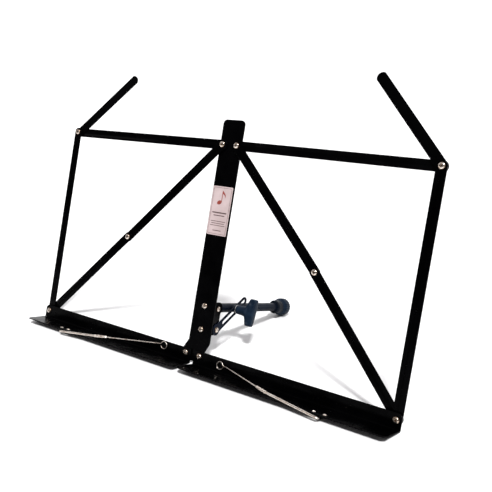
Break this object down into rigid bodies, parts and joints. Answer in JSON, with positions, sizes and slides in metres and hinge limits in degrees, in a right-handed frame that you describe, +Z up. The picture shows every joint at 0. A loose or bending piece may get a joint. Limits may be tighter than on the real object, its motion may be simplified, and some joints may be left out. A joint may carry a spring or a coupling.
{
  "type": "folding music desk",
  "caption": "Folding sheet-music desk: flat spine, two hinged book trays, parallel side frames, page fingers, wire page retainers and a tilting stub shaft.",
  "frame": {"origin": "on the floor under the middle of the part's box, with the desk standing on its trays' heels and on the lock nut of its stub shaft", "axes": "+X to the reader's right along the trays, +Y away from the reader, +Z up"},
  "size_m": [0.493, 0.2448, 0.3251],
  "materials": {
    "black_paint": "satin",
    "shaft_paint": "semi-gloss",
    "nickel_rivet": "bright",
    "retainer_steel": "bright",
    "bolt_steel": "satin",
    "grip_plastic": "matte",
    "collar_plastic": "matte",
    "label_film": "satin"
  },
  "bodies": {
    "spine": {"spine": "black_paint", "label": "label_film", "top_pivot_left": "nickel_rivet", "top_pivot_right": "nickel_rivet", "bottom_pivot_left": "nickel_rivet", "bottom_pivot_right": "nickel_rivet", "bracket_rivets": "nickel_rivet", "tilt_bracket": "black_paint", "tilt_rivet": "nickel_rivet", "link_rivet": "nickel_rivet"},
    "stub_shaft": {"shaft_tube": "shaft_paint", "clamp_bolt": "bolt_steel", "bolt_spacer": "collar_plastic", "lock_collar": "collar_plastic"},
    "lock_nut": {"lock_nut": "grip_plastic"},
    "tilt_link": {"tilt_link": "shaft_paint"},
    "wing_knob": {"wing_knob": "grip_plastic", "knob_washer": "bolt_steel", "knob_stud": "bolt_steel"},
    "tray_right": {"tray_right": "black_paint", "corner_rivet_right": "nickel_rivet", "corner_spacer_right": "nickel_rivet", "retainer_clip_right": "black_paint", "clip_rivets_right": "nickel_rivet"},
    "top_arm_right": {"top_arm_right": "black_paint", "finger_rivet_right": "nickel_rivet", "finger_spacer_right": "nickel_rivet"},
    "side_arm_right": {"side_arm_right": "black_paint"},
    "brace_upper_right": {"brace_upper_right": "black_paint", "brace_tail_right": "nickel_rivet"},
    "brace_lower_right": {"brace_lower_right": "black_paint", "brace_head_right": "nickel_rivet"},
    "finger_right": {"finger_right": "black_paint"},
    "retainer_right": {"retainer_arm_right": "retainer_steel", "retainer_crimp_right": "retainer_steel", "retainer_wire_right": "retainer_steel"},
    "tray_left": {"tray_left": "black_paint", "corner_rivet_left": "nickel_rivet", "corner_spacer_left": "nickel_rivet", "retainer_clip_left": "black_paint", "clip_rivets_left": "nickel_rivet"},
    "top_arm_left": {"top_arm_left": "black_paint", "finger_rivet_left": "nickel_rivet"},
    "side_arm_left": {"side_arm_left": "black_paint", "finger_spacer_left": "nickel_rivet"},
    "brace_upper_left": {"brace_upper_left": "black_paint", "brace_tail_left": "nickel_rivet"},
    "brace_lower_left": {"brace_lower_left": "black_paint", "brace_head_left": "nickel_rivet"},
    "finger_left": {"finger_left": "black_paint"},
    "retainer_left": {"retainer_arm_left": "retainer_steel", "retainer_crimp_left": "retainer_steel", "retainer_wire_left": "retainer_steel"}
  },
  "joints": [
    {"name": "stub_tilt", "type": "hinge", "parent": "spine", "child": "stub_shaft", "pos_m": [0, -0.04727, 0.05556], "axis": [-1, 0, 0], "range_deg": [-12, 66]},
    {"name": "link_swing", "type": "hinge", "parent": "spine", "child": "tilt_link", "pos_m": [0.00795, -0.05292, 0.03224], "axis": [-1, 0, 0], "range_deg": [-12, 66]},
    {"name": "knob_turn", "type": "hinge", "parent": "stub_shaft", "child": "wing_knob", "pos_m": [0.012, -0.01173, 0.04602], "axis": [1, 0, 0], "continuous": true},
    {"name": "lock_nut_turn", "type": "hinge", "parent": "stub_shaft", "child": "lock_nut", "pos_m": [0, 0.11209, 0.01279], "axis": [0, 0.9658, -0.2592], "continuous": true},
    {"name": "fold_right", "type": "hinge", "parent": "spine", "child": "tray_right", "pos_m": [0.0096, -0.08493, 0.01057], "axis": [0, -0.9719, 0.2356], "range_deg": [0, 90]},
    {"name": "top_arm_fold_right", "type": "hinge", "parent": "spine", "child": "top_arm_right", "pos_m": [0.0096, -0.02091, 0.242], "axis": [0, -0.9719, 0.2356], "range_deg": [0, 90]},
    {"name": "side_arm_fold_right", "type": "hinge", "parent": "top_arm_right", "child": "side_arm_right", "pos_m": [0.2406, -0.02561, 0.2417], "axis": [0, -0.9719, 0.2356], "range_deg": [-90, 0]},
    {"name": "brace_upper_fold_right", "type": "hinge", "parent": "spine", "child": "brace_upper_right", "pos_m": [0.0096, -0.02237, 0.24235], "axis": [0, -0.9719, 0.2356], "range_deg": [-44.88, 0]},
    {"name": "brace_lower_fold_right", "type": "hinge", "parent": "tray_right", "child": "brace_lower_right", "pos_m": [0.2406, -0.08069, 0.0081], "axis": [0, -0.9719, 0.2356], "range_deg": [0, 46.96]},
    {"name": "finger_swing_right", "type": "hinge", "parent": "top_arm_right", "child": "finger_right", "pos_m": [0.2406, -0.02416, 0.24135], "axis": [0, -0.9719, 0.2356], "range_deg": [-130.2, 46.8]},
    {"name": "retainer_swing_right", "type": "hinge", "parent": "tray_right", "child": "retainer_right", "pos_m": [0.1769, -0.11626, 0.00442], "axis": [0, -0.9719, 0.2356], "range_deg": [-95, 0]},
    {"name": "fold_left", "type": "hinge", "parent": "spine", "child": "tray_left", "pos_m": [-0.0096, -0.08493, 0.01057], "axis": [0, 0.9719, -0.2356], "range_deg": [0, 90]},
    {"name": "top_arm_fold_left", "type": "hinge", "parent": "spine", "child": "top_arm_left", "pos_m": [-0.0096, -0.02091, 0.242], "axis": [0, 0.9719, -0.2356], "range_deg": [0, 90]},
    {"name": "side_arm_fold_left", "type": "hinge", "parent": "top_arm_left", "child": "side_arm_left", "pos_m": [-0.2406, -0.02561, 0.2417], "axis": [0, 0.9719, -0.2356], "range_deg": [-90, 0]},
    {"name": "brace_upper_fold_left", "type": "hinge", "parent": "spine", "child": "brace_upper_left", "pos_m": [-0.0096, -0.02237, 0.24235], "axis": [0, 0.9719, -0.2356], "range_deg": [-43.47, 0]},
    {"name": "brace_lower_fold_left", "type": "hinge", "parent": "tray_left", "child": "brace_lower_left", "pos_m": [-0.2406, -0.08069, 0.0081], "axis": [0, 0.9719, -0.2356], "range_deg": [0, 45.63]},
    {"name": "finger_swing_left", "type": "hinge", "parent": "top_arm_left", "child": "finger_left", "pos_m": [-0.2406, -0.02416, 0.24135], "axis": [0, 0.9719, -0.2356], "range_deg": [-137.3, 39.7]},
    {"name": "retainer_swing_left", "type": "hinge", "parent": "tray_left", "child": "retainer_left", "pos_m": [-0.181, -0.11626, 0.00442], "axis": [0, 0.9719, -0.2356], "range_deg": [-95, 0]}
  ],
  "couplings": [
    {"joint": "link_swing", "follows": "stub_tilt", "ratio": 1},
    {"joint": "top_arm_fold_right", "follows": "fold_right", "ratio": 1},
    {"joint": "side_arm_fold_right", "follows": "fold_right", "ratio": -1},
    {"joint": "brace_upper_fold_right", "follows": "fold_right", "ratio": -0.49863},
    {"joint": "brace_lower_fold_right", "follows": "fold_right", "ratio": 0.52181},
    {"joint": "top_arm_fold_left", "follows": "fold_left", "ratio": 1},
    {"joint": "side_arm_fold_left", "follows": "fold_left", "ratio": -1},
    {"joint": "brace_upper_fold_left", "follows": "fold_left", "ratio": -0.48301},
    {"joint": "brace_lower_fold_left", "follows": "fold_left", "ratio": 0.50698}
  ]
}
